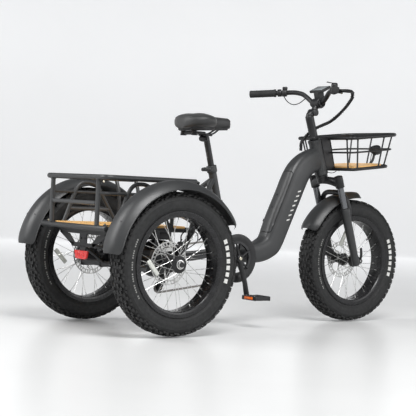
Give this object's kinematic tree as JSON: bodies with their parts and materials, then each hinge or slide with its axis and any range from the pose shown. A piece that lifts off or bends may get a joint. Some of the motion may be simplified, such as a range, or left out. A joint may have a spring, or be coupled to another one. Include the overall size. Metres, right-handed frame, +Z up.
{
  "type": "adult tricycle",
  "caption": "Electric adult tricycle with fat tyres, low step-through frame, front basket, rear rack, fenders, sprung fork and disc brakes.",
  "frame": {"origin": "on the ground under the middle of the bounding box", "axes": "+X forward, +Y to the rider's left, +Z up"},
  "size_m": [1.8888, 0.782, 1.1061],
  "materials": {
    "frame_paint": "satin dark grey paint",
    "black_metal": "black anodised or painted",
    "black_plastic": "moulded",
    "rubber": "matte",
    "tyre": "knobbly",
    "steel": "plain",
    "wood": "varnished slats",
    "saddle": "soft vinyl cover",
    "red_lens": "moulded lens"
  },
  "bodies": {
    "frame": {"main_frame": "frame_paint", "rear_frame": "frame_paint", "axle_housing": "black_metal", "controller_box": "black_plastic", "front_basket": "black_metal", "front_basket_floor": "wood", "headlight": "black_plastic", "rear_rack": "frame_paint", "rear_rack_floor": "wood", "tail_reflector": "red_lens", "fender_rear_left": "frame_paint", "fender_rear_right": "frame_paint", "caliper_rear_left": "black_metal", "caliper_rear_right": "black_metal", "pedal_chain": "steel", "drive_case": "black_plastic", "derailleur": "black_metal", "rear_brake_lines": "rubber"},
    "battery": {"battery_pack": "frame_paint"},
    "seat_clamp": {"seat_clamp_lever": "black_metal"},
    "seat": {"seat_post": "black_metal", "saddle_base": "black_plastic", "saddle_pad": "saddle"},
    "steering": {"fork_upper": "black_metal", "stem": "black_metal", "handlebar": "black_metal", "grip_left": "rubber", "grip_right": "rubber", "brake_perch_left": "black_metal", "brake_perch_right": "black_metal", "display": "black_plastic", "cable_loom": "rubber"},
    "lever_left": {"brake_lever_left": "black_metal"},
    "lever_right": {"brake_lever_right": "black_metal"},
    "shifter": {"shift_lever": "black_plastic"},
    "fork_lower": {"fork_lowers": "frame_paint", "front_fender": "frame_paint", "caliper_front": "black_metal"},
    "axle_lever": {"front_axle_lever": "steel"},
    "front_wheel": {"tyre_front": "tyre", "rim_front": "black_metal", "hub_front": "black_metal", "rotor_front": "steel"},
    "rear_wheel_left": {"tyre_rear_left": "tyre", "rim_rear_left": "black_metal", "hub_rear_left": "black_metal", "rotor_rear_left": "steel"},
    "rear_wheel_right": {"tyre_rear_right": "tyre", "rim_rear_right": "black_metal", "hub_rear_right": "black_metal", "rotor_rear_right": "steel"},
    "crankset": {"crank_left": "black_metal", "crank_right": "black_metal", "chainring": "black_metal"},
    "pedal_l": {"pedal_left": "black_plastic"},
    "pedal_r": {"pedal_right": "black_plastic"},
    "sprockets": {"cassette": "steel"},
    "upper_pulley": {"jockey_upper": "black_plastic"},
    "lower_pulley": {"jockey_lower": "black_plastic"},
    "hub_motor": {"motor": "black_metal"}
  },
  "joints": [
    {"name": "steering_turn", "type": "hinge", "parent": "frame", "child": "steering", "pos_m": [0.60171, 0, 0.27131], "axis": [-0.3338, 0, 0.9426], "range_deg": [-35, 35], "deforming": ["cable_loom"]},
    {"name": "fork_travel", "type": "slide", "parent": "steering", "child": "fork_lower", "axis": [-0.3338, 0, 0.9426], "range_m": [0, 0.025], "stiffness_N_per_m": 7000, "springref_m": -0.03},
    {"name": "front_wheel_spin", "type": "hinge", "parent": "fork_lower", "child": "front_wheel", "pos_m": [0.6545, 0, 0.29], "axis": [0, 1, 0], "continuous": true},
    {"name": "front_axle_lever_turn", "type": "hinge", "parent": "fork_lower", "child": "axle_lever", "pos_m": [0.6545, -0.08, 0.29], "axis": [0, 1, 0], "range_deg": [0, 120]},
    {"name": "rear_wheel_left_spin", "type": "hinge", "parent": "frame", "child": "rear_wheel_left", "pos_m": [-0.6175, 0.328, 0.29], "axis": [0, 1, 0], "continuous": true},
    {"name": "rear_wheel_right_spin", "type": "hinge", "parent": "frame", "child": "rear_wheel_right", "pos_m": [-0.6175, -0.328, 0.29], "axis": [0, 1, 0], "continuous": true},
    {"name": "crank_spin", "type": "hinge", "parent": "frame", "child": "crankset", "pos_m": [-0.0885, 0, 0.298], "axis": [0, 1, 0], "continuous": true},
    {"name": "pedal_left_spin", "type": "hinge", "parent": "crankset", "child": "pedal_l", "pos_m": [-0.12819, 0.165, 0.4633], "axis": [0, 1, 0], "continuous": true},
    {"name": "pedal_right_spin", "type": "hinge", "parent": "crankset", "child": "pedal_r", "pos_m": [-0.04881, -0.165, 0.1327], "axis": [0, 1, 0], "continuous": true},
    {"name": "sprockets_spin", "type": "hinge", "parent": "frame", "child": "sprockets", "pos_m": [-0.4665, 0, 0.29], "axis": [0, 1, 0], "continuous": true},
    {"name": "upper_pulley_spin", "type": "hinge", "parent": "frame", "child": "upper_pulley", "pos_m": [-0.4785, -0.065, 0.2155], "axis": [0, 1, 0], "continuous": true},
    {"name": "lower_pulley_spin", "type": "hinge", "parent": "frame", "child": "lower_pulley", "pos_m": [-0.5015, -0.065, 0.172], "axis": [0, 1, 0], "continuous": true},
    {"name": "motor_spin", "type": "hinge", "parent": "frame", "child": "hub_motor", "pos_m": [-0.4665, 0, 0.29], "axis": [0, 1, 0], "continuous": true},
    {"name": "battery_slide", "type": "slide", "parent": "frame", "child": "battery", "axis": [-0.9135, 0, 0.4067], "range_m": [0, 0.15]},
    {"name": "seat_clamp_turn", "type": "hinge", "parent": "frame", "child": "seat_clamp", "pos_m": [-0.22945, 0, 0.67951], "axis": [0, 1, 0], "range_deg": [-120, 0]},
    {"name": "seat_height", "type": "slide", "parent": "frame", "child": "seat", "axis": [-0.274, 0, 0.9617], "range_m": [-0.09, 0.1]},
    {"name": "brake_lever_left_pull", "type": "hinge", "parent": "steering", "child": "lever_left", "pos_m": [0.35554, 0.21255, 1.06285], "axis": [0.0146, 0.1066, 0.9942], "range_deg": [0, 22], "stiffness_Nm_per_rad": 1.2, "springref_deg": -17.19},
    {"name": "brake_lever_right_pull", "type": "hinge", "parent": "steering", "child": "lever_right", "pos_m": [0.35554, -0.21255, 1.06285], "axis": [-0.0146, 0.1066, -0.9942], "range_deg": [0, 22], "stiffness_Nm_per_rad": 1.2, "springref_deg": -17.19},
    {"name": "shift_lever_turn", "type": "hinge", "parent": "steering", "child": "shifter", "pos_m": [0.34831, -0.17156, 1.09775], "axis": [0, 0, 1], "range_deg": [0, 30], "stiffness_Nm_per_rad": 0.3, "springref_deg": -11.46}
  ],
  "couplings": [
    {"joint": "sprockets_spin", "follows": "crank_spin", "ratio": 1.8333},
    {"joint": "upper_pulley_spin", "follows": "crank_spin", "ratio": -4.4},
    {"joint": "lower_pulley_spin", "follows": "crank_spin", "ratio": 4.4}
  ]
}
